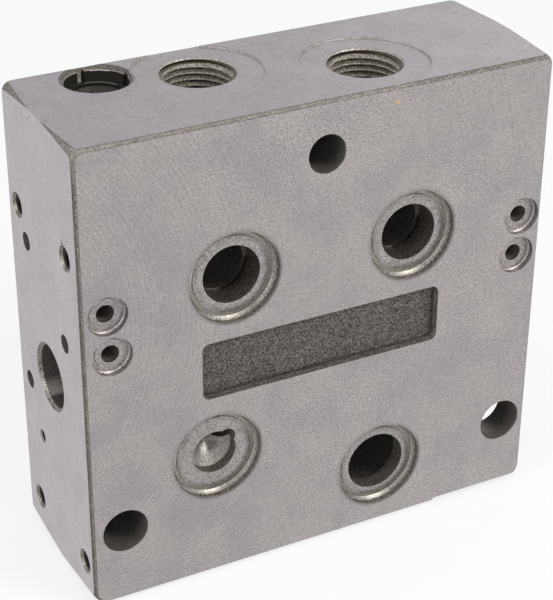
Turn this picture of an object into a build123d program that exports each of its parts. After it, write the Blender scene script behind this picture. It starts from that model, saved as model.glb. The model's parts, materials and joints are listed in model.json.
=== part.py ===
"""Valve section housing: a cast iron block with machined faces, galleries and ports.

Millimetres, +Z up. The origin is at the middle of the foot that the block stands on.
The front mating face looks towards -Y, the work ports are on top, and the spool bore
runs through from the left face (-X) to the right face (+X).
"""

import os
from math import radians, tan

from build123d import *

# Machined envelope
width = 142.0  # left cap face to right cap face
thickness = 51.0  # front mating face to back mating face
height = 140.2  # foot to top face

# Raw casting around the envelope
casting_draft = 2.0  # degrees, both ways from the parting line at mid thickness
casting_allowance = 1.0  # stock outside the cap faces and the top, at the parting line
casting_foot_allowance = 1.0  # stock below the foot, at the parting line
mating_allowance = 0.7  # stock outside the front and back mating faces
casting_edge_radius = 3.0
casting_top_corner_radius = 3.0
casting_foot_corner_radius = 5.0

# Foot, fettled nearly flat, with a raised end on the right
foot_flat_front = 14.0  # the flat strip, from mid thickness towards the front
foot_flat_back = 8.0
foot_rise_front = 1.15
foot_rise_back = 1.2
foot_back_radius = 4.5
foot_pad_end = 39.5  # x where the flat strip stops
foot_pad_height = 0.7

# Tie rod holes, through from front to back
tie_top_x = 0.3
tie_top_inset = 15.2  # below the top face
tie_top_radius = 5.65
tie_left_inset = 9.9  # from the cap faces
tie_right_inset = 9.0
tie_low_z = 23.45
tie_low_radius = 6.75

# Relief pocket in the right face, open to the low right tie rod hole
pocket_wall = 10.6  # flange left in front of the pocket
pocket_length = 24.0
pocket_bottom_z = 8.0
pocket_height = 32.0
pocket_depth = 20.5
pocket_corner_radius = 8.0

# Turned seats around the gallery mouths on the front face
seat_radius = 13.4
seat_groove_depth = 2.55
seat_groove_bevel = 0.9
seat_groove_inner_radius = 11.4
seat_depth = 2.2

# Upper galleries, cored through and bored at both mouths
gallery_left_x = -27.0
gallery_right_x = 27.6
gallery_z = 94.8
gallery_radius = 8.5
gallery_bore_depth = 10.45
gallery_core_radius = 7.95
gallery_core_shift_x = -0.55  # the casting's core sat a little off the bored mouths
gallery_core_shift_z = -0.1

# Low right gallery, the pressure inlet line
inlet_x = 19.8
inlet_z = 20.4
inlet_radius = 9.1
inlet_bore_depth = 7.0
inlet_core_radius = 10.3

# Low left seat, a blind drilling with its passage breaking in at the upper right
blind_x = -32.8
blind_z = 39.7
blind_radius = 6.65
blind_depth = 5.4
drill_half_angle = 59.0  # half of a drill's point angle, degrees
drill_web_radius = 0.6  # the blunt middle of a drill's point
blind_passage_radius = 2.7
blind_passage_offset_x = 3.9  # from the seat's centre
blind_passage_offset_z = 3.8

# Small seats of the pilot galleries, in two pairs
pilot_seat_radius = 5.75
pilot_seat_depth = 1.85
pilot_groove_depth = 2.1
pilot_groove_bevel = 0.35
pilot_groove_inner_radius = 4.4
pilot_radius = 2.55
pilot_upper_z = 92.35
pilot_lower_z = 80.05
pilot_left_upper_inset = 7.5  # from the cap faces
pilot_left_lower_inset = 8.4
pilot_right_upper_inset = 6.9
pilot_right_lower_inset = 7.7

# Cast recess across the front face
recess_x = 0.2
recess_z = 67.7
recess_width = 74.2
recess_height = 17.6
recess_depth = 2.3
recess_corner_radius = 2.2
recess_draft = 14.0

# Work ports on top, G 1/2, bored here at the thread's major radius
port_a_x = -21.4
port_a_y = 8.0
port_b_x = 22.1
port_b_y = -6.1
port_spot_radius = 18.2
port_spot_depth = 0.43
port_chamfer_radius = 10.9
port_thread_radius = 10.48
port_thread_depth = 17.0
port_drill_radius = 9.3
port_drill_depth = 20.5

# Stepped plug cavity on top with four key slots
cavity_inset = 23.4  # from the left cap face
cavity_y = 15.2
cavity_rim_radius = 10.0
cavity_mouth_radius = 8.8
cavity_mouth_depth = 4.0
cavity_chamfer_depth = 1.25
cavity_seal_radius = 7.2
cavity_seal_depth = 5.1
cavity_nose_radius = 6.0
cavity_depth = 44.0
key_slot_width = 2.1
key_slot_radius = 9.45  # out from the cavity's axis
key_slot_turn = 7.0  # degrees from +X to the first slot
key_slot_count = 4

# Spool bore from cap face to cap face
spool_y = 0.4
spool_z = 61.9
spool_radius = 9.1
spool_rim_radius = 10.05
chamber_radius = 12.6
chamber_half_width = 3.8

# Tapped holes for the end caps, bored at the thread's major radius
cap_screw_radius = 3.0
cap_screw_chamfer_radius = 3.7
cap_screw_depth = 16.5
cap_screw_pitch = 34.7
cap_top_z = 106.8
cap_low_z = 11.8
left_cap_top_y = 0.8
left_cap_low_y = -1.3
right_cap_top_y = 0.0
right_cap_low_y = -2.5

# Drillings in the cap faces
cap_drill_radius = 2.65
cap_drill_depth = 24.0
cap_drill_upper_y = 12.7
cap_drill_upper_z = 98.2
cap_drill_low_y = 17.6
cap_drill_low_z = 51.8
cap_drill_middle_y = -12.8
cap_drill_middle_z = 79.5
cap_drill_middle_depth = 10.5
plate_screw_y = 10.2
plate_screw_z = 36.7
plate_screw_radius = 1.65
plate_screw_chamfer_radius = 2.05
plate_screw_depth = 9.0

# Planes of the machined faces, each looking outwards with its second direction up
front = Plane(origin=(0, -thickness / 2, 0), x_dir=(1, 0, 0), z_dir=(0, -1, 0))
back = Plane(origin=(0, thickness / 2, 0), x_dir=(-1, 0, 0), z_dir=(0, 1, 0))
left = Plane(origin=(-width / 2, 0, 0), x_dir=(0, -1, 0), z_dir=(-1, 0, 0))
right = Plane(origin=(width / 2, 0, 0), x_dir=(0, 1, 0), z_dir=(1, 0, 0))
top = Plane(origin=(0, 0, height), x_dir=(1, 0, 0), z_dir=(0, 0, 1))

overshoot = 1.0  # how far a cutter starts above the face that it cuts

# Half sizes of the raw casting at its parting line, and what the draft takes off each side
casting_half_width = width / 2 + casting_allowance
casting_half_depth = thickness / 2 + mating_allowance
draft_run = casting_half_depth * tan(radians(casting_draft))


def drill_end(radius, depth):
    """The last two points of a drilled hole's outline, below its full width."""
    bottom = -depth - (radius - drill_web_radius) / tan(radians(drill_half_angle))
    return (drill_web_radius, bottom), (0, bottom)


def turned(*outline):
    """A cutter turned about Z from (radius, height) points, from the mouth down to the axis."""
    with BuildPart() as cutter:
        with BuildSketch(Plane.XZ):
            with BuildLine():
                Polyline((0, outline[0][1]), *outline, close=True)
            make_face()
        revolve(axis=Axis.Z)
    return cutter.part


def foot_profile(rise):
    """Outline of the envelope as the cap faces show it, with its foot lifted by rise."""
    half = thickness / 2
    with BuildSketch(Plane.YZ) as outline:
        with BuildLine():
            Polyline(
                (-half, height),
                (-half, rise + foot_rise_front),
                (-foot_flat_front, rise),
                (foot_flat_back, rise),
                (half, rise + foot_rise_back),
                (half, height),
                close=True,
            )
        make_face()
        heel = outline.vertices().group_by(Axis.X)[-1].sort_by(Axis.Y)[0]
        fillet(heel, foot_back_radius)
    return outline.sketch


# Front half of the raw casting: four drafted sides with rounded corners and front edges
with BuildPart() as casting:
    with BuildSketch(Plane.XY.offset(-casting_foot_allowance)):
        with BuildLine():
            Polyline(
                (-casting_half_width, 0),
                (casting_half_width, 0),
                (casting_half_width - draft_run, -casting_half_depth),
                (draft_run - casting_half_width, -casting_half_depth),
                close=True,
            )
        make_face()
    extrude(amount=casting_foot_allowance + height + casting_allowance)
    with BuildSketch(Plane.YZ):
        with BuildLine():
            Polyline(
                (0, -casting_foot_allowance),
                (-casting_half_depth, draft_run - casting_foot_allowance),
                (-casting_half_depth, height + casting_allowance - draft_run),
                (0, height + casting_allowance),
                close=True,
            )
        make_face()
    extrude(amount=casting_half_width, both=True, mode=Mode.INTERSECT)
    top_edges = casting.faces().sort_by(Axis.Z)[-1].edges().group_by(Axis.X)
    fillet(top_edges[0] + top_edges[-1], casting_top_corner_radius)
    foot_edges = casting.faces().sort_by(Axis.Z)[0].edges().group_by(Axis.X)
    fillet(foot_edges[0] + foot_edges[-1], casting_foot_corner_radius)
    fillet(casting.faces().sort_by(Axis.Y)[0].edges(), casting_edge_radius)
    mirror(about=Plane.XZ)

# What the milling cutters leave of it: the flat faces, the fettled foot and its pad
with BuildPart() as envelope:
    extrude(foot_profile(0), amount=width / 2, dir=(-1, 0, 0))
    extrude(foot_profile(0), amount=foot_pad_end, dir=(1, 0, 0))
    extrude(foot_profile(foot_pad_height), amount=width / 2, dir=(1, 0, 0))

# Cutters for the front face
gallery_seat = turned(
    (seat_radius, overshoot),
    (seat_radius, seat_groove_bevel - seat_groove_depth),
    (seat_radius - seat_groove_bevel, -seat_groove_depth),
    (seat_groove_inner_radius, -seat_groove_depth),
    (seat_groove_inner_radius, -seat_depth),
    (0, -seat_depth),
)
pilot_seat = turned(
    (pilot_seat_radius, overshoot),
    (pilot_seat_radius, pilot_groove_bevel - pilot_groove_depth),
    (pilot_seat_radius - pilot_groove_bevel, -pilot_groove_depth),
    (pilot_groove_inner_radius, -pilot_groove_depth),
    (pilot_groove_inner_radius, -pilot_seat_depth),
    (0, -pilot_seat_depth),
)
inlet_widening = inlet_core_radius - inlet_radius
inlet = turned(
    (inlet_radius, overshoot),
    (inlet_radius, -inlet_bore_depth),
    (inlet_core_radius, -inlet_bore_depth - inlet_widening),
    (inlet_core_radius, inlet_bore_depth + inlet_widening - thickness),
    (inlet_radius, inlet_bore_depth - thickness),
    (inlet_radius, -thickness - overshoot),
    (0, -thickness - overshoot),
)
blind_bore = turned(
    (blind_radius, overshoot),
    (blind_radius, -blind_depth),
    *drill_end(blind_radius, blind_depth),
)

# Recess across the front face, with drafted walls
with BuildPart() as recess:
    with BuildSketch(front):
        with Locations((recess_x, recess_z)):
            RectangleRounded(recess_width, recess_height, recess_corner_radius)
    extrude(amount=-recess_depth, taper=recess_draft)

# Cutters for the top face
port = turned(
    (port_spot_radius, overshoot),
    (port_spot_radius, -port_spot_depth),
    (port_chamfer_radius, -port_spot_depth),
    (port_thread_radius, -port_spot_depth - (port_chamfer_radius - port_thread_radius)),
    (port_thread_radius, -port_thread_depth),
    (port_drill_radius, -port_thread_depth),
    (port_drill_radius, -port_drill_depth),
    (0, -port_drill_depth),
)
plug_cavity = turned(
    (cavity_rim_radius, overshoot),
    (cavity_rim_radius, 0),
    (cavity_mouth_radius, -cavity_chamfer_depth),
    (cavity_mouth_radius, -cavity_mouth_depth),
    (cavity_seal_radius, -cavity_mouth_depth),
    (cavity_seal_radius, -cavity_seal_depth),
    (cavity_nose_radius, -cavity_seal_depth - (cavity_seal_radius - cavity_nose_radius)),
    (cavity_nose_radius, -cavity_depth),
    (0, -cavity_depth),
)
with BuildPart() as key_slots:
    with BuildSketch(Plane.XY.offset(-cavity_mouth_depth)):
        with PolarLocations(key_slot_radius / 2, key_slot_count, start_angle=key_slot_turn):
            Rectangle(key_slot_radius, key_slot_width)
        Circle(key_slot_radius, mode=Mode.INTERSECT)
    extrude(amount=cavity_mouth_depth)

# Cutters for the cap faces
spool_chamfer = spool_rim_radius - spool_radius
spool_mouth = turned(
    (spool_rim_radius, overshoot),
    (spool_rim_radius, 0),
    (spool_radius, -spool_chamfer),
    (0, -spool_chamfer),
)
cap_screw = turned(
    (cap_screw_chamfer_radius, overshoot),
    (cap_screw_chamfer_radius, 0),
    (cap_screw_radius, -(cap_screw_chamfer_radius - cap_screw_radius)),
    (cap_screw_radius, -cap_screw_depth),
    (0, -cap_screw_depth),
)
small_screw = turned(
    (plate_screw_chamfer_radius, overshoot),
    (plate_screw_chamfer_radius, 0),
    (plate_screw_radius, -(plate_screw_chamfer_radius - plate_screw_radius)),
    (plate_screw_radius, -plate_screw_depth),
    (0, -plate_screw_depth),
)
with BuildPart() as spool_chamber:
    with BuildSketch(Plane.YZ):
        Circle(chamber_radius)
    extrude(amount=chamber_half_width, both=True)

# Places of what is bored, as the planes of the faces see them
tie_top = (tie_top_x, height - tie_top_inset)
tie_left = (tie_left_inset - width / 2, tie_low_z)
tie_right = (width / 2 - tie_right_inset, tie_low_z)
gallery_left = (gallery_left_x, gallery_z)
gallery_right = (gallery_right_x, gallery_z)
core_z = gallery_z + gallery_core_shift_z
core_left = (gallery_left_x + gallery_core_shift_x, core_z)
core_right = (gallery_right_x + gallery_core_shift_x, core_z)
blind_passage = (blind_x + blind_passage_offset_x, blind_z + blind_passage_offset_z)
pilots = [
    (pilot_left_upper_inset - width / 2, pilot_upper_z),
    (pilot_left_lower_inset - width / 2, pilot_lower_z),
    (width / 2 - pilot_right_upper_inset, pilot_upper_z),
    (width / 2 - pilot_right_lower_inset, pilot_lower_z),
]
port_a = (port_a_x, port_a_y)
port_b = (port_b_x, port_b_y)
cavity = (cavity_inset - width / 2, cavity_y)


def cap_screws(top_y, low_y):
    """Where one end cap's four screws are, as (y, z)."""
    half = cap_screw_pitch / 2
    return [
        (top_y - half, cap_top_z),
        (top_y + half, cap_top_z),
        (low_y - half, cap_low_z),
        (low_y + half, cap_low_z),
    ]


# The housing: the casting cut to its faces, then bored
with BuildPart() as housing:
    add(casting.part)
    add(envelope.part, mode=Mode.INTERSECT)

    # Front face: tie rod holes, seats, galleries through to the plain back face, and recess
    with Locations(front):
        with Locations(tie_top):
            Hole(tie_top_radius, depth=thickness)
        with Locations(tie_left, tie_right):
            Hole(tie_low_radius, depth=thickness)
        with Locations(gallery_left, gallery_right, (inlet_x, inlet_z), (blind_x, blind_z)):
            add(gallery_seat, mode=Mode.SUBTRACT)
        with Locations(gallery_left, gallery_right):
            Hole(gallery_radius, depth=gallery_bore_depth)
        with Locations(core_left, core_right):
            Hole(gallery_core_radius, depth=thickness)
        with Locations((inlet_x, inlet_z)):
            add(inlet, mode=Mode.SUBTRACT)
        with Locations((blind_x, blind_z)):
            add(blind_bore, mode=Mode.SUBTRACT)
        with Locations(blind_passage):
            Hole(blind_passage_radius, depth=thickness / 2)
        with Locations(*pilots):
            add(pilot_seat, mode=Mode.SUBTRACT)
            Hole(pilot_radius, depth=thickness)
    add(recess.part, mode=Mode.SUBTRACT)

    # Back face: the galleries' other mouths
    with Locations(back):
        with Locations((-gallery_left_x, gallery_z), (-gallery_right_x, gallery_z)):
            Hole(gallery_radius, depth=gallery_bore_depth)

    # Top face: work ports and the plug cavity
    with Locations(top):
        with Locations(port_a, port_b):
            add(port, mode=Mode.SUBTRACT)
        with Locations(cavity):
            add(plug_cavity, mode=Mode.SUBTRACT)
            add(key_slots.part, mode=Mode.SUBTRACT)

    # Cap faces: spool bore, tapped holes and drillings
    with Locations((0, spool_y, spool_z)):
        Cylinder(spool_radius, width, rotation=(0, 90, 0), mode=Mode.SUBTRACT)
    with Locations(left):
        with Locations((-spool_y, spool_z)):
            add(spool_mouth, mode=Mode.SUBTRACT)
        with Locations(*[(-y, z) for y, z in cap_screws(left_cap_top_y, left_cap_low_y)]):
            add(cap_screw, mode=Mode.SUBTRACT)
        with Locations((-cap_drill_upper_y, cap_drill_upper_z), (-cap_drill_low_y, cap_drill_low_z)):
            Hole(cap_drill_radius, depth=cap_drill_depth)
        with Locations((-cap_drill_middle_y, cap_drill_middle_z)):
            Hole(cap_drill_radius, depth=cap_drill_middle_depth)
        with Locations((-plate_screw_y, plate_screw_z)):
            add(small_screw, mode=Mode.SUBTRACT)
    with Locations(right):
        with Locations((spool_y, spool_z)):
            add(spool_mouth, mode=Mode.SUBTRACT)
        with Locations(*cap_screws(right_cap_top_y, right_cap_low_y)):
            add(cap_screw, mode=Mode.SUBTRACT)

    # Relief pocket behind the front flange at the low right tie rod
    with BuildSketch(right):
        with Locations(
            (
                -thickness / 2 + pocket_wall + pocket_length / 2,
                pocket_bottom_z + pocket_height / 2,
            )
        ):
            RectangleRounded(pocket_length, pocket_height, pocket_corner_radius)
    extrude(amount=-pocket_depth, mode=Mode.SUBTRACT)

    # Pressure chamber round the middle of the spool
    with Locations((0, spool_y, spool_z)):
        add(spool_chamber.part, mode=Mode.SUBTRACT)

housing.part.label = "housing"

os.makedirs("parts", exist_ok=True)
export_step(housing.part, "parts/housing.step")
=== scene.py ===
"""Valve section housing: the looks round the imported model, in metres, +Z up.

A grey iron casting, milled on five sides, bored and tapped. It stands on its foot.
"""
import json
import math

import bmesh
import bpy
from mathutils import Matrix, Vector


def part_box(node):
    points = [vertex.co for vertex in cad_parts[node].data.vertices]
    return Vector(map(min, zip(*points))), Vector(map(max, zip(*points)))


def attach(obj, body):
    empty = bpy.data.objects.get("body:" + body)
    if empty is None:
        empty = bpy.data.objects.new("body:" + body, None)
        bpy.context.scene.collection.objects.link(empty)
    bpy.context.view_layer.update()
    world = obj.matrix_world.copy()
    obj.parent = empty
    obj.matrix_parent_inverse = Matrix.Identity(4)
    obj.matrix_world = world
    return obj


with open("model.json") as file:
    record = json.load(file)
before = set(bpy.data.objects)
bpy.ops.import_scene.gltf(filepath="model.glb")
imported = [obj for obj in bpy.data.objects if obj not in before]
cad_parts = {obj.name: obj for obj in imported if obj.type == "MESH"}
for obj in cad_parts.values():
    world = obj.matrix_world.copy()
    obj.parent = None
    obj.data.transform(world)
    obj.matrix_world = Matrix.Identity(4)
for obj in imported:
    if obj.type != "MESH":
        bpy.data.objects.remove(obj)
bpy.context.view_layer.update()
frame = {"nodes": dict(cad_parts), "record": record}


# The camera stands in front, to the left and above, as in the photograph. Its lens and place
# were fitted to the block's edges and the rims of its holes.
camera_data = bpy.data.cameras.new("camera")
camera_data.lens = 106.89
camera_data.clip_start = 0.01
camera_data.clip_end = 20.0
camera = bpy.data.objects.new("camera", camera_data)
camera.location = (-0.20824, -0.39667, 0.32143)
camera.rotation_euler = [math.radians(angle) for angle in (60.534, -0.309, -27.373)]
bpy.context.scene.collection.objects.link(camera)
bpy.context.scene.camera = camera
bpy.context.scene.view_settings.view_transform = "Standard"


# The studio: a white room that the camera and the metal see, with softer light from it, a matt
# paper floor that keeps the housing's shadow, and three softboxes.
def linear(code):
    """An sRGB colour such as "#a0a0a0", as Blender's linear red, green, blue and alpha."""
    parts = [int(code[i:i + 2], 16) / 255 for i in (1, 3, 5)]
    return (*(c / 12.92 if c <= 0.04045 else ((c + 0.055) / 1.055) ** 2.4 for c in parts), 1.0)


def add_node(tree, kind, inputs=(), out=0, **settings):
    """Adds a node with its settings, puts values or links in its inputs, and gives an output."""
    node = tree.nodes.new("ShaderNode" + kind)
    for name, value in settings.items():
        setattr(node, name, value)
    pairs = inputs.items() if isinstance(inputs, dict) else enumerate(inputs)
    for name, value in pairs:
        if isinstance(value, bpy.types.NodeSocket):
            tree.links.new(value, node.inputs[name])
        else:
            node.inputs[name].default_value = value
    return node.outputs[out] if node.outputs else None


def seen_share(tree):
    """1 where the background is looked at, in the metal too, and 0 where it only gives light."""
    by_camera = add_node(tree, "LightPath", out="Is Camera Ray")
    seen = by_camera.node.outputs
    share = add_node(tree, "Math", (by_camera, seen["Is Glossy Ray"]), operation="MAXIMUM")
    return add_node(tree, "Math", (share, seen["Is Transmission Ray"]), operation="MAXIMUM")


ROOM_LIGHT = 0.6
world = bpy.data.worlds.new("studio_room")
world.use_nodes = True
tree = world.node_tree
tree.nodes.clear()
room = add_node(tree, "Background", (linear("#ffffff"), ROOM_LIGHT))
white = add_node(tree, "Background", (linear("#ffffff"), 1.0))
mixed = add_node(tree, "MixShader", (seen_share(tree), room, white))
add_node(tree, "OutputWorld", (mixed,))
bpy.context.scene.world = world

FLOOR_SIZE = 8.0
FLOOR_WHITENING = 0.75
floor_mesh = bpy.data.meshes.new("floor")
bm = bmesh.new()
bmesh.ops.create_grid(bm, x_segments=2, y_segments=2, size=FLOOR_SIZE / 2)
bm.to_mesh(floor_mesh)
bm.free()
floor = bpy.data.objects.new("floor", floor_mesh)
bpy.context.scene.collection.objects.link(floor)
paper = bpy.data.materials.new("matt_paper_floor")
paper.use_nodes = True
tree = paper.node_tree
tree.nodes.clear()
whitening = add_node(tree, "Math", (seen_share(tree), FLOOR_WHITENING), operation="MULTIPLY")
matt = add_node(tree, "BsdfDiffuse", (linear("#f6f6f5"),))
glow = add_node(tree, "Emission", (linear("#ffffff"), 1.0))
mixed = add_node(tree, "MixShader", (whitening, matt, glow))
add_node(tree, "OutputMaterial", (mixed,))
floor_mesh.materials.append(paper)

# Each softbox's name, place and side in metres, power in watts and colour
SOFTBOXES = (
    ("key_softbox", (0.45, -0.62, 0.72), 0.34, 5.0, "#fffbf5"),
    ("left_softbox", (-0.95, -0.25, 0.55), 0.5, 4.0, "#fdfbff"),
    ("far_softbox", (1.1, 1.1, 0.62), 0.6, 1.2, "#ffffff"),
)
HOUSING_MIDDLE = Vector((0, 0, 0.07))
for name, spot, size, power, colour in SOFTBOXES:
    data = bpy.data.lights.new(name, "AREA")
    data.shape = "SQUARE"
    data.size = size
    data.energy = power
    data.color = linear(colour)[:3]
    lamp = bpy.data.objects.new(name, data)
    lamp.location = spot
    aim = HOUSING_MIDDLE - Vector(spot)
    lamp.rotation_euler = aim.to_track_quat("-Z", "Y").to_euler()
    lamp.visible_camera = False
    bpy.context.scene.collection.objects.link(lamp)


# The housing: one grey iron casting. Milling gives its flat faces a fine even grain and faint
# arcs, and its seats and bores are turned. Along the edges, in the recess and in the cored
# galleries the sand mould's dark, rough skin is left.
housing = frame["nodes"]["housing"]
low_corner, high_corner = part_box("housing")
WIDTH, DEPTH, HEIGHT = (1000 * (high - low) for low, high in zip(low_corner, high_corner))
MOUNTS = {mount["name"]: [1000 * v for v in mount["pos_m"]] for mount in frame["record"]["mounts"]}
PORTS = (MOUNTS["work_port_a"], MOUNTS["work_port_b"])
TIE_HOLES = (MOUNTS["tie_rod_top"], MOUNTS["tie_rod_left"], MOUNTS["tie_rod_right"])
GALLERIES = ((-27.0, 0, 94.8), (27.6, 0, 94.8))
INLET = (19.8, 0, 20.4)
BLIND = (-32.8, 0, 39.7)
PILOTS = ((-63.5, 0, 92.35), (-62.6, 0, 80.05), (64.1, 0, 92.35), (63.3, 0, 80.05))
DRILLINGS = ((0, 12.7, 98.2), (0, 17.6, 51.8), (0, -12.8, 79.5))
HALF_SCREW_SPAN = 17.35
CAP_SCREWS = []
for side, way in (("left", -1), ("right", 1)):
    for row in ("top", "low"):
        middle = MOUNTS[f"{side}_cap_screws_{row}"]
        for offset in (-HALF_SCREW_SPAN, HALF_SCREW_SPAN):
            CAP_SCREWS.append((side, way * WIDTH / 2, middle[1] + offset, middle[2]))

# The casting's iron, whose finish depends on the place in it, in millimetres
iron = bpy.data.materials.new("grey_cast_iron")
iron.use_nodes = True
tree = iron.node_tree
tree.nodes.clear()
place = add_node(tree, "TexCoord", out="Object")
mm = add_node(tree, "VectorMath", {0: place, 3: 1000.0}, operation="SCALE")
x, y, z = add_node(tree, "SeparateXYZ", (mm,)).node.outputs


def grain(size, detail=2.0, roughness=0.6):
    """Noise with spots of about this many millimetres, moved so that no two sizes line up."""
    moved = add_node(tree, "VectorMath", (mm, (size, 7.0, 3.0 * size)), operation="ADD")
    inputs = {"Vector": moved, "Scale": 1 / size, "Detail": detail, "Roughness": roughness}
    return add_node(tree, "TexNoise", inputs)


def rings(radius, pitch, detail=3.0, roughness=0.7):
    """Noise that changes with the distance from a cutter's axis only."""
    line = add_node(tree, "CombineXYZ", (radius, 0.0, 0.0))
    inputs = {"Vector": line, "Scale": 1 / pitch, "Detail": detail, "Roughness": roughness}
    return add_node(tree, "TexNoise", inputs)


def off_axis(along, *centres):
    """Distance in mm from the nearest of some holes' axes, which run along X, Y or Z."""
    kept = [float(axis != along) for axis in "xyz"]
    flat = add_node(tree, "VectorMath", (mm, kept), operation="MULTIPLY")
    nearest = None
    for centre in centres:
        middle = [c * k for c, k in zip(centre, kept)]
        away = add_node(tree, "VectorMath", (flat, middle), "Value", operation="DISTANCE")
        if nearest:
            away = add_node(tree, "Math", (nearest, away), operation="MINIMUM")
        nearest = away
    return nearest


FAR = 999.0


def zone(*limits, blur=0.05, within=None):
    """1 where each distance lies between its two limits in mm, 0 elsewhere, with a soft edge.

    -1 or -FAR as a lower limit and FAR as an upper one leave that side open. The mask within,
    where there is one, holds the zone inside it.
    """
    share = within
    for distance, least, most in limits:
        half = (most - least) / 2
        away = add_node(tree, "Math", (distance, (most + least) / 2), operation="SUBTRACT")
        away = add_node(tree, "Math", (away,), operation="ABSOLUTE")
        inside = {"Value": away, "From Min": half + blur, "From Max": half}
        inside = add_node(tree, "MapRange", inside)
        if share:
            inside = add_node(tree, "Math", (share, inside), operation="MULTIPLY")
        share = inside
    return share


# How far a point lies from the milled faces, from the spot faces and from the holes' axes. Past
# the rim of a spot face, its plane counts as further off by BEYOND_RIM.
SPOT_RADIUS = 18.2
SPOT_DEPTH = 0.43
BEYOND_RIM = 9.0
reach = add_node(tree, "VectorMath", (mm,), operation="ABSOLUTE")
inward = add_node(tree, "VectorMath", ((WIDTH / 2, DEPTH / 2, HEIGHT), reach), operation="SUBTRACT")
inward = add_node(tree, "VectorMath", (inward,), operation="ABSOLUTE")
to_cap, to_mating, to_top = add_node(tree, "SeparateXYZ", (inward,)).node.outputs
depth_in = add_node(tree, "Math", (to_cap, to_mating), operation="MINIMUM")
depth_in = add_node(tree, "Math", (depth_in, to_top), operation="MINIMUM")
port_off = off_axis("z", *PORTS)
to_spot = add_node(tree, "Math", (z, HEIGHT - SPOT_DEPTH), operation="SUBTRACT")
to_spot = add_node(tree, "Math", (to_spot,), operation="ABSOLUTE")
past_spot = zone((port_off, SPOT_RADIUS + 0.05, FAR), blur=0.03)
to_spot = add_node(tree, "Math", (past_spot, BEYOND_RIM, to_spot), operation="MULTIPLY_ADD")
to_cut = add_node(tree, "Math", (depth_in, to_spot), operation="MINIMUM")
cavity_off = off_axis("z", MOUNTS["plug_cavity"])
spool_off = off_axis("x", MOUNTS["spool_bore"])
tie_off = off_axis("y", *TIE_HOLES)
gallery_off = off_axis("y", *GALLERIES)
inlet_off = off_axis("y", INLET)
blind_off = off_axis("y", BLIND)
pilot_off = off_axis("y", *PILOTS)
screw_off = off_axis("x", *[screw[1:] for screw in CAP_SCREWS])
drill_off = off_axis("x", *DRILLINGS)

# The casting skin: past two of the cutter's limits, on the foot, in the recess, in the pocket
# and in the cores, with a ragged edge where the cutter broke it off
CUTTER_LIMITS = (69.5, 22.3, 137.6)
FOOT_SKIN = 5.4
beyond = add_node(tree, "VectorMath", (reach, CUTTER_LIMITS), operation="SUBTRACT")
beyond = add_node(tree, "VectorMath", (beyond,), operation="SIGN")
beyond = add_node(tree, "VectorMath", (beyond, (1, 1, 1)), "Value", operation="DOT_PRODUCT")
edges = zone((beyond, 0.5, 9.0), (cavity_off, 10.15, FAR), (port_off, 18.3, FAR), (pilot_off, 5.9, FAR))
recess = zone((x, -37.3, 37.7), (y, -28.0, -22.9), (z, 58.5, 76.9))
pocket = zone((x, 50.3, 72.1), (y, -15.0, 9.3), (z, 7.8, 40.2))
gallery_cores = zone((gallery_off, -1.0, 8.95), (to_mating, 10.55, FAR))
inlet_core = zone((inlet_off, -1.0, 10.65), (to_mating, 7.3, FAR))
chamber = zone((spool_off, 9.25, 12.95), (to_cap, 66.5, FAR))
skin = zone((z, -1.0, FOOT_SKIN))
for patch in (edges, recess, pocket, gallery_cores, inlet_core, chamber):
    skin = add_node(tree, "Math", (skin, patch), operation="MAXIMUM")
ragged = add_node(tree, "Math", (grain(1.1, 3.0, 0.75), 0.15, -0.045), operation="MULTIPLY_ADD")
ragged = add_node(tree, "Math", (ragged, 0.006), operation="MAXIMUM")
skin_depth = add_node(tree, "Math", (to_cut, ragged), operation="SUBTRACT")
skin = zone((skin_depth, 0.1, FAR), blur=0.1, within=skin)

# The faces that a milling cutter left flat, to within some microns
FLATNESS = 0.008
on_mating = zone((to_mating, -1.0, FLATNESS), blur=0.004)
on_cap = zone((to_cap, -1.0, FLATNESS), blur=0.004)
to_upper = add_node(tree, "Math", (to_top, to_spot), operation="MINIMUM")
on_top = zone((to_upper, -1.0, FLATNESS), blur=0.004)

# The seats, with the large ones' grooves and lands. down_right is how far a point lies down and
# to the right of the middle of its seat: the lands' outer edges are darkened as painted shade, most
# of all there, and the grooves are paler with painted light on the other side.
SEAT_RADIUS = 13.42
PILOT_SEAT_RADIUS = 5.77
DOWN_RIGHT = (0.7, 0, -0.7)
large_off = add_node(tree, "Math", (gallery_off, inlet_off), operation="MINIMUM")
large_off = add_node(tree, "Math", (large_off, blind_off), operation="MINIMUM")
from_large = add_node(tree, "Math", (large_off, SEAT_RADIUS), operation="SUBTRACT")
from_small = add_node(tree, "Math", (pilot_off, PILOT_SEAT_RADIUS), operation="SUBTRACT")
from_seat = add_node(tree, "Math", (from_large, from_small), operation="MINIMUM")
down_right = 0.0
for middle in (*GALLERIES, INLET, BLIND):
    offset = add_node(tree, "VectorMath", (mm, middle), operation="SUBTRACT")
    offset = add_node(tree, "VectorMath", (offset, DOWN_RIGHT), "Value", operation="DOT_PRODUCT")
    near_seat = zone((off_axis("y", middle), -1.0, 14.0))
    down_right = add_node(tree, "Math", (offset, near_seat, down_right), operation="MULTIPLY_ADD")
at_front = (y, -FAR, -22.85)
in_seat = (to_mating, 0.03, 2.7)
seats = zone((from_seat, -FAR, 0.0), (to_mating, 0.03, FAR), at_front, blur=0.02)
groove = zone((from_large, -1.8, -0.6), in_seat, at_front, blur=0.4)
land_edge_painted_shade = zone((from_large, -2.5, 0.0), in_seat, at_front, blur=1.2)
land_painted_shade = zone((down_right, 6.0, FAR), blur=5.0, within=land_edge_painted_shade)
groove_painted_light = zone((down_right, -FAR, -10.2), blur=3.4, within=groove)
seat_wall = zone((from_large, -0.1, 0.0), (to_mating, 0.03, 2.5), at_front, blur=0.02)
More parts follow.
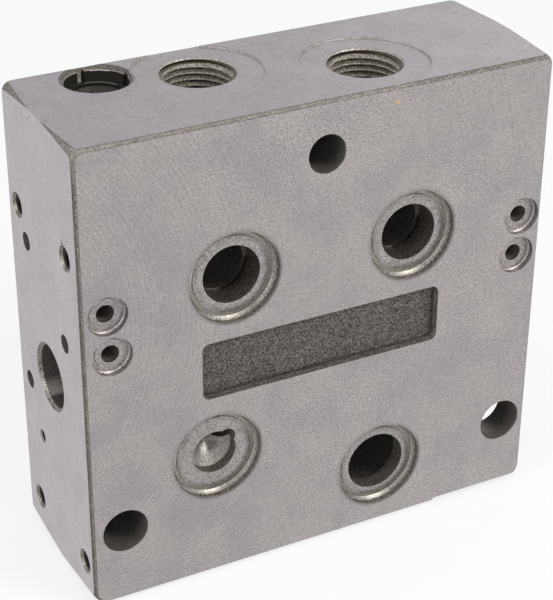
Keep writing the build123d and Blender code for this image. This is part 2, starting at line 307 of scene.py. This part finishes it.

# The holes from the front. Each gallery's bore ends in a step with painted shade on its lower
# right, the tie holes' rims carry a thin painted highlight, and the drilled cone of the blind one
# has a painted shade wedge and a painted highlight wedge.
deep_inside = zone((depth_in, 4.0, FAR), blur=3.0)
gallery_bore = zone((gallery_off, -1.0, 8.6), (to_mating, 2.0, 10.5))
gallery_step_painted_shade = zone((gallery_off, 7.9, 8.6), (to_mating, 10.3, 10.6), (down_right, 6.3, 9.0), blur=0.8)
inlet_bore = zone((inlet_off, -1.0, 9.2), (to_mating, 2.0, 7.4))
tie_bore = zone((tie_off, -1.0, 6.9), (to_mating, 0.02, FAR))
tie_rim_painted_highlight = zone((tie_off, -1.0, 6.9), (to_mating, 0.02, 0.28))
blind_bore = zone((blind_off, -1.0, 6.95), (to_mating, 2.3, 12.0))
blind_wall = zone((blind_off, 6.5, 6.75), (to_mating, 2.3, 7.7))
blind_cone = ((blind_off, -1.0, 6.6), (to_mating, 7.7, 13.0))
painted_shade_wedge = zone(*blind_cone, (x, -31.9, -27.0), (z, 36.2, 39.0), blur=0.9)
painted_highlight_wedge = zone(*blind_cone, (x, -34.2, -32.8), (z, 33.0, 38.4), blur=0.7)

# The holes from the sides. The spool bore's left mouth has a band of painted light over a band
# of painted shadow.
in_drilling = zone((drill_off, -1.0, 2.7), (to_cap, 0.02, 26.0))
spool_bore = zone((spool_off, -1.0, 9.15), (to_cap, 0.9, 66.0))
spool_mouth = zone((x, -75.0, -66.0), blur=5.0)
spool_painted_light = zone((spool_off, -1.0, 9.15), (z, 53.5, 54.6), blur=2.6, within=spool_mouth)
spool_painted_shadow = zone((spool_off, -1.0, 9.15), (z, 51.0, 53.45), blur=0.15, within=spool_mouth)
spool_chamfer = zone((spool_off, 9.0, 10.15), (to_cap, 0.01, 0.98))
screw_chamfer = zone((screw_off, -1.0, 3.76), (to_cap, 0.01, 0.72))

# The holes from the top. The plug cavity is painted dark as shade, and on its far side one wall
# of a key slot and four turned edges carry painted highlights.
at_far_side = (y, 15.2, FAR)
cavity_painted_shade = zone((cavity_off, -1.0, 10.05), (z, 90.0, 142.0))
cavity_chamfer = zone((cavity_off, 8.85, 10.05), (to_top, 0.01, 1.26))
slot_wall_painted_highlight = zone((cavity_off, 8.86, 9.7), (to_top, 1.3, 4.2), (x, -49.9, -48.4), at_far_side)
chamfer_foot = zone((cavity_off, 8.75, 8.9), (to_top, 1.2, 1.36), (x, -46.0, -41.4), at_far_side)
ledge_edge = zone((cavity_off, 7.15, 7.42), (to_top, 3.92, 4.08), (x, -48.2, -40.8), at_far_side)
cone_foot = zone((cavity_off, 5.9, 6.1), (to_top, 6.35, 6.6), (x, -46.3, -43.3), at_far_side)
lower_line = zone((cavity_off, 5.9, 6.1), (to_top, 7.1, 7.4), (x, -46.0, -43.6), at_far_side)
port_chamfer = zone((port_off, 10.4, 11.0), (to_top, 0.44, 0.87))
port_rim = zone((port_off, 10.8, 11.0), (to_top, 0.42, 0.5))
port_wall = zone((port_off, -1.0, 10.6), (to_top, 0.88, 17.1))
# The spot faces' walls carry a painted highlight, and the top face just past their far rims a thin
# painted shade
spot_wall_painted_highlight = zone((port_off, 18.1, 18.24), (to_top, 0.03, 0.41))
past_cavity = (cavity_off, 10.3, FAR)
spot_rim_painted_shade = zone((port_off, 18.2, 18.36), past_cavity, (to_top, -1.0, 0.02), (y, 6.0, FAR), blur=0.08)

# A speck of rust near the front's top edge, and a nick over the left face's upper front screw
# hole, 1.2 mm wide at its foot and closing upwards
rust_speck = zone((x, 20.8, 21.9), (y, -FAR, -25.4), (z, 135.7, 136.05), blur=0.35)
nick_half = add_node(tree, "Math", (z, -0.26, 29.15), operation="MULTIPLY_ADD")
nick_off = add_node(tree, "Math", (y, 15.3), operation="ADD")
nick_off = add_node(tree, "Math", (nick_off,), operation="ABSOLUTE")
nick_off = add_node(tree, "Math", (nick_off, nick_half), operation="SUBTRACT")
nick = zone((nick_off, -9.0, 0.0), (x, -FAR, -70.9), (z, 109.8, 112.1), blur=0.1)

# Each zone's colour, metallic, roughness and depth of grain, the later over the earlier. Oily
# bores look less metallic than cut faces, turned edges have thin painted highlights, and the
# front's grain is the coarsest. PLAIN is what no zone covers.
PLAIN = ("#7a7570", 0.45, 0.5, 1.6)
PAINTED_HIGHLIGHT = ("#d6d2ca", 0.6, 0.4, 1.6)
DIM_PAINTED_HIGHLIGHT = ("#a19b93", 0.6, 0.4, 2.4)
FINISHES = (
    (deep_inside, "#78736e", 0.45, 0.5, 1.2),
    (gallery_bore, "#7a736e", 0.9, 0.46, 6.0),
    (inlet_bore, "#77716b", 0.7, 0.46, 4.5),
    (gallery_step_painted_shade, "#35302c", 0.8, 0.5, 2.6),
    (tie_bore, "#625e5a", 0.35, 0.5, 2.0),
    (tie_rim_painted_highlight, *PAINTED_HIGHLIGHT),
    (blind_bore, "#928e8a", 0.8, 0.46, 3.0),
    (blind_wall, "#77716a", 0.7, 0.46, 5.0),
    (painted_shade_wedge, "#67635f", 0.8, 0.46, 3.0),
    (painted_highlight_wedge, "#c4c0ba", 0.7, 0.46, 3.0),
    (in_drilling, "#6d6863", 0.45, 0.5, 3.4),
    (spool_bore, "#66625f", 0.5, 0.34, 2.6),
    (spool_painted_light, "#b5b0aa", 0.5, 0.36, 2.6),
    (spool_painted_shadow, "#5f5b58", 0.5, 0.4, 4.0),
    (spool_chamfer, "#7b7671", 1.0, 0.34, 5.0),
    (screw_chamfer, "#7a756f", 0.9, 0.34, 5.0),
    (cavity_painted_shade, "#312e2a", 0.5, 0.45, 2.4),
    (cavity_chamfer, "#6f6962", 0.5, 0.45, 4.0),
    (slot_wall_painted_highlight, "#a7a29b", 0.4, 0.5, 3.0),
    (chamfer_foot, *PAINTED_HIGHLIGHT),
    (ledge_edge, *DIM_PAINTED_HIGHLIGHT),
    (cone_foot, *DIM_PAINTED_HIGHLIGHT),
    (lower_line, *PAINTED_HIGHLIGHT),
    (port_chamfer, "#a8a29b", 0.9, 0.42, 5.0),
    (port_rim, "#837a73", 0.8, 0.45, 1.6),
    (port_wall, "#35312c", 0.8, 0.5, 2.0),
    (spot_wall_painted_highlight, "#c9c5bd", 0.5, 0.4, 3.0),
    # The milled faces' colours differ as painted light: lighter on the cap faces, darker on the top
    (on_mating, "#aba5a5", 1.0, 0.46, 2.9),
    (rust_speck, "#cfae78", 0.3, 0.7, 1.5),
    (on_cap, "#b9b3b6", 1.0, 0.46, 0.9),
    (nick, "#5a5f66", 1.0, 0.4, 1.5),
    (on_top, "#9f9a9d", 1.0, 0.46, 0.9),
    (spot_rim_painted_shade, "#7a7572", 0.8, 0.45, 1.6),
    (seats, "#a19c9b", 1.0, 0.4, 2.8),
    (land_edge_painted_shade, "#96918f", 1.0, 0.4, 2.8),
    (land_painted_shade, "#757170", 1.0, 0.4, 3.0),
    (groove, "#918e87", 1.0, 0.36, 3.0),
    (groove_painted_light, "#c9c5c2", 0.25, 0.5, 2.4),
    (seat_wall, "#8a857f", 0.8, 0.44, 6.0),
)
colour, *quality = PLAIN
base = linear(colour)
for where, colour, *finish in FINISHES:
    base = add_node(tree, "Mix", {0: where, 6: base, 7: linear(colour)}, 2, data_type="RGBA")
    quality = add_node(tree, "Mix", {0: where, 4: quality, 5: finish}, 1, data_type="VECTOR")
metallic, roughness, grain_depth = add_node(tree, "SeparateXYZ", (quality,)).node.outputs

# The grain of milled iron, and cutter marks as noise by distance: arcs of the face mill, and
# rings in seats, bores and spot faces. The real ones are finer, and are drawn half a millimetre
# or so apart to show.
MILL_AXIS = (-115.0, 0, 88.0)
fine = grain(0.5, 3.0, 0.8)
mill_off = off_axis("y", MILL_AXIS)
MARKS = (
    (on_mating, rings(mill_off, 0.9)),
    (on_cap, rings(off_axis("x", (0, -60.0, 20.0)), 0.8)),
    (on_top, rings(off_axis("z", (30.0, 60.0, 0)), 0.8)),
    (zone((port_off, -1.0, SPOT_RADIUS), (to_spot, -1.0, 0.01)), rings(port_off, 0.45)),
    (zone((cavity_off, 8.7, 10.05), (to_top, 0.01, 1.3)), rings(cavity_off, 0.34, 1.0, 0.5)),
    (seats, rings(from_seat, 0.42)),
)
marks = rings(depth_in, 0.6)
for where, pattern in MARKS:
    marks = add_node(tree, "Mix", {0: where, 2: marks, 3: pattern})

# Worn patches, where the grain is weaker and the feed marks of the face mill show instead
FEED = 1.45
worn = add_node(tree, "MapRange", {"Value": grain(34.0, 2.0, 0.5), "From Min": 0.4, "From Max": 0.6})
worn = add_node(tree, "Math", (worn, zone((x, -FAR, -48.0), blur=35.0)), operation="MAXIMUM")
worn = add_node(tree, "Math", (worn, on_mating), operation="MULTIPLY")
feed = add_node(tree, "Math", (mill_off, 2 * math.pi / FEED), operation="MULTIPLY")
feed = add_node(tree, "Math", (feed,), operation="SINE")
feed = add_node(tree, "Math", (feed, worn), operation="MULTIPLY")
feed = zone((x, -FAR, -30.0), blur=30.0, within=feed)
feed = add_node(tree, "Math", (feed, grain(9.0, 2.0, 0.6)), operation="MULTIPLY")
kept = add_node(tree, "Math", (worn, -0.42, 1.08), operation="MULTIPLY_ADD")
grain_depth = add_node(tree, "Math", (grain_depth, kept), operation="MULTIPLY")

# All of these lighten and darken the colour, round a tone of 1. The plug cavity's chamfer has
# the strongest rings, and the darkest clouds on the front are a little cooler.
clouds = grain(14.0, 3.0, 0.6)
tone = 1.0
for pattern, depth in ((fine, grain_depth), (marks, 0.3), (grain(1.7, 2.0, 0.6), 0.3), (clouds, 0.32)):
    pattern = add_node(tree, "Math", (pattern, 0.5), operation="SUBTRACT")
    tone = add_node(tree, "Math", (pattern, depth, tone), operation="MULTIPLY_ADD")
tone = add_node(tree, "Math", (feed, 0.07, tone), operation="MULTIPLY_ADD")
contrast = {"Value": marks, "From Min": 0.44, "From Max": 0.56, "To Min": 0.08, "To Max": 1.35}
strong_rings = add_node(tree, "MapRange", contrast)
strong_rings = add_node(tree, "Math", (strong_rings, tone), operation="MULTIPLY")
tone = add_node(tree, "Mix", {0: cavity_chamfer, 2: tone, 3: strong_rings})
tone = add_node(tree, "CombineColor", (tone, tone, tone))
base = add_node(tree, "Mix", {0: 1.0, 6: base, 7: tone}, 2, data_type="RGBA", blend_type="MULTIPLY")
cool = add_node(tree, "MapRange", {"Value": clouds, "From Min": 0.52, "From Max": 0.36, "To Max": 0.25})
cool = add_node(tree, "Math", (cool, on_mating), operation="MULTIPLY")
base = add_node(tree, "Mix", {0: cool, 6: base, 7: linear("#9b9ca0")}, 2, data_type="RGBA")

# The skin is pale sand grit on dark iron, with grains of 0.4 mm. It is paler along the front's
# top edge, where the fettler's wheel touched it. In the cores and the chamber it is nearly
# black, as painted shade.
grit = grain(0.38, 3.0, 0.95)
lumps = grain(2.2, 3.0, 0.6)
pale = zone((x, -70.0, 26.0), (y, -FAR, -20.0), (to_top, -1.0, 1.5), blur=9.0, within=edges)
near_front = zone((to_mating, -1.0, 0.1), (y, -FAR, -20.0), blur=0.55, within=edges)
near_top = zone((to_top, -1.0, 0.9), blur=1.2, within=edges)
SKINS = (
    (1.0, "#26231f", "#97928c"),
    (edges, "#322e2b", "#918a84"),
    (near_top, "#5a5550", "#aaa49e"),
    (pale, "#7a746e", "#b5afa8"),
    (near_front, "#706a65", "#b8b2ac"),
    (gallery_cores, "#050505", "#6f6963"),
    (inlet_core, "#181715", "#6b665f"),
    (chamber, "#0f0e0d", "#3b3835"),
)
grit_share = add_node(tree, "MapRange", {"Value": grit, "From Min": 0.45, "From Max": 0.57})
skin_base = linear("#000000")
for where, dark, light in SKINS:
    sand = {0: grit_share, 6: linear(dark), 7: linear(light)}
    sand = add_node(tree, "Mix", sand, 2, data_type="RGBA")
    skin_base = add_node(tree, "Mix", {0: where, 6: skin_base, 7: sand}, 2, data_type="RGBA")
sooty = add_node(tree, "MapRange", {"Value": lumps, "From Min": 0.6, "From Max": 0.3, "To Max": 0.4})
# The skin at the foot of the recess's walls is darkened as painted shade
off_floor = zone((x, -35.95, 36.35), (z, 59.85, 75.55), blur=0.3)
off_floor = add_node(tree, "Math", (1.0, off_floor), operation="SUBTRACT")
recess_foot_painted_shade = zone((to_mating, 1.75, 2.6), blur=0.2, within=off_floor)
recess_foot_painted_shade = add_node(tree, "Math", (recess_foot_painted_shade, recess), operation="MULTIPLY")
recess_foot_painted_shade = add_node(tree, "Math", (recess_foot_painted_shade, 0.5), operation="MULTIPLY")
for where, dark in ((sooty, "#45413d"), (recess_foot_painted_shade, "#23201e")):
    skin_base = add_node(tree, "Mix", {0: where, 6: skin_base, 7: linear(dark)}, 2, data_type="RGBA")
SKIN_METALLIC = 0.7
SKIN_ROUGHNESS = 0.62
base = add_node(tree, "Mix", {0: skin, 6: base, 7: skin_base}, 2, data_type="RGBA")
metallic = add_node(tree, "Mix", {0: skin, 2: metallic, 3: SKIN_METALLIC})
roughness = add_node(tree, "Mix", {0: skin, 2: roughness, 3: SKIN_ROUGHNESS})
roughness = add_node(tree, "Math", (fine, 0.12, roughness), operation="MULTIPLY_ADD")

# The relief in mm: hundredths on the cut faces, and some tenths on the skin
mill_relief = add_node(tree, "Math", (fine, 0.012), operation="MULTIPLY")
mill_relief = add_node(tree, "Math", (marks, 0.006, mill_relief), operation="MULTIPLY_ADD")
skin_relief = add_node(tree, "Math", (grit, 0.22), operation="MULTIPLY")
skin_relief = add_node(tree, "Math", (lumps, 0.5, skin_relief), operation="MULTIPLY_ADD")
relief = add_node(tree, "Mix", {0: skin, 2: mill_relief, 3: skin_relief})
rounded = add_node(tree, "Bevel", {"Radius": 0.00006}, samples=4)
normal = add_node(tree, "Bump", {"Strength": 1.0, "Distance": 0.001, "Height": relief, "Normal": rounded})
inputs = {"Base Color": base, "Metallic": metallic, "Roughness": roughness, "Normal": normal}
add_node(tree, "OutputMaterial", (add_node(tree, "BsdfPrincipled", inputs),))
for material_slot in housing.material_slots:
    material_slot.material = iron


# The screw threads: cut by a tap, with painted highlights on their crests over darker, torn
# flanks. Each is the ridge that the tap leaves standing in a plain hole, cut back where the
# countersink opens the hole.
def tapped_iron(name, dark, light, mouth, metallic, roughness):
    """Iron torn by the tap in spots of half a millimetre. Its first turn has the darker colour mouth, as
    painted shade.
    """
    tapped = bpy.data.materials.new(name)
    tapped.use_nodes = True
    tree = tapped.node_tree
    tree.nodes.clear()
    place = add_node(tree, "TexCoord", out="Object")
    torn = add_node(tree, "TexNoise", {"Vector": place, "Scale": 2100.0, "Detail": 2.0, "Roughness": 0.9})
    share = add_node(tree, "MapRange", {"Value": torn, "From Min": 0.38, "From Max": 0.62})
    tone = add_node(tree, "Mix", {0: share, 6: linear(dark), 7: linear(light)}, 2, data_type="RGBA")
    # The first turn lies a millimetre or two below the top face and the cap faces, in metres
    reach = add_node(tree, "VectorMath", (place,), operation="ABSOLUTE")
    across, _, up = add_node(tree, "SeparateXYZ", (reach,)).node.outputs
    top_turn = add_node(tree, "MapRange", {"Value": up, "From Min": 0.1382, "From Max": 0.1385})
    side_turn = add_node(tree, "MapRange", {"Value": across, "From Min": 0.0697, "From Max": 0.0699})
    first_turn = add_node(tree, "Math", (top_turn, side_turn), operation="MAXIMUM")
    tone = add_node(tree, "Mix", {0: first_turn, 6: tone, 7: linear(mouth)}, 2, data_type="RGBA")
    normal = add_node(tree, "Bump", {"Strength": 0.5, "Distance": 0.00006, "Height": torn})
    inputs = {"Base Color": tone, "Metallic": metallic, "Roughness": roughness, "Normal": normal}
    add_node(tree, "OutputMaterial", (add_node(tree, "BsdfPrincipled", inputs),))
    return tapped


def thread(name, mouth, inward, major, pitch, ridge, start, lead, turns, steps, flanks, crests):
    """The ridge of an internal thread, right-handed, in millimetres.

    mouth is the middle of the hole in the face and inward points down the hole. major is the
    hole's radius, ridge the ridge's height, and start how deep the chamfer ends. lead is how far
    above that the first turn begins, in pitches. The ridge is seated a little in the hole's wall.
    """
    seated = 0.1
    foot = 0.47 * pitch
    crest = 0.09 * pitch
    merge = 0.0005
    countersink = math.tan(math.radians(60))
    bm = bmesh.new()
    section = (
        (major + seated, -foot),
        (major, -foot),
        (major - ridge, -crest),
        (major - ridge, crest),
        (major, foot),
        (major + seated, foot),
    )
    bm.faces.new([bm.verts.new((radius, 0, height)) for radius, height in section])
    bmesh.ops.spin(
        bm,
        geom=bm.verts[:] + bm.edges[:] + bm.faces[:],
        cent=(0, 0, 0),
        axis=(0, 0, 1),
        dvec=(0, 0, pitch / steps),
        angle=turns * 2 * math.pi,
        steps=turns * steps,
    )
    first = start - lead * pitch
    for vert in bm.verts:
        depth = turns * pitch + first - vert.co.z
        radius = math.hypot(vert.co.x, vert.co.y)
        kept = min(max(radius, major - countersink * (depth - start)), major + seated)
        vert.co.x *= kept / radius
        vert.co.y *= kept / radius
        vert.co.z = -max(depth, start)
    bmesh.ops.remove_doubles(bm, verts=bm.verts[:], dist=merge)
    bmesh.ops.dissolve_degenerate(bm, edges=bm.edges[:], dist=merge)
    bmesh.ops.recalc_face_normals(bm, faces=bm.faces[:])
    for face in bm.faces:
        furthest = max(math.hypot(vert.co.x, vert.co.y) for vert in face.verts)
        face.material_index = int(furthest < major - 0.9 * ridge)
    turn = Vector((0, 0, -1)).rotation_difference(Vector(inward)).to_matrix().to_4x4()
    bm.transform(Matrix.Translation(Vector(mouth) * 0.001) @ turn @ Matrix.Scale(0.001, 4))
    mesh = bpy.data.meshes.new(name)
    bm.to_mesh(mesh)
    bm.free()
    mesh.materials.append(flanks)
    mesh.materials.append(crests)
    piece = bpy.data.objects.new(name, mesh)
    bpy.context.scene.collection.objects.link(piece)
    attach(piece, "root")


# The work ports' torn flanks have pale spots among the dark ones, and painted highlights on their crests
PORT_THREAD = {
    "major": 10.48,
    "pitch": 1.814,
    "ridge": 1.1,
    "start": 0.85,
    "turns": 8,
    "steps": 60,
    "flanks": tapped_iron("tapped_iron_flanks", "#37322b", "#c9c1b3", "#4e4840", 0.8, 0.42),
    "crests": tapped_iron("tapped_iron_crests_painted_highlight", "#7d776b", "#fffdf6", "#4e4840", 0.3, 0.36),
}
for name, port, lead in zip(("port_thread_a", "port_thread_b"), PORTS, (0.88, 0.83)):
    thread(name, (port[0], port[1], HEIGHT), (0, 0, -1), lead=lead, **PORT_THREAD)

# The small threads' flanks are darkened as painted shade, and their crests carry painted highlights
SMALL_THREAD_PAINTED = {
    "lead": 0.3,
    "turns": 12,
    "flanks": tapped_iron("small_thread_flanks_painted_shade", "#12100e", "#57524b", "#1b1815", 0.6, 0.36),
    "crests": tapped_iron("small_thread_crests_painted_highlight", "#3f3b36", "#f2ede2", "#1b1815", 0.5, 0.26),
}
CAP_THREAD = {"major": 3.0, "pitch": 1.0, "ridge": 0.55, "start": 0.7, "steps": 32, **SMALL_THREAD_PAINTED}
for number, (side, *mouth) in enumerate(CAP_SCREWS):
    inward = (-math.copysign(1, mouth[0]), 0, 0)
    thread(f"cap_thread_{side}_{number % 4 + 1}", mouth, inward, **CAP_THREAD)
PLATE_THREAD = {"major": 1.65, "pitch": 0.6, "ridge": 0.3, "start": 0.4, "steps": 24, **SMALL_THREAD_PAINTED}
PLATE_SCREW = (-WIDTH / 2, 10.2, 36.7)
thread("plate_thread", PLATE_SCREW, (1, 0, 0), **PLATE_THREAD)
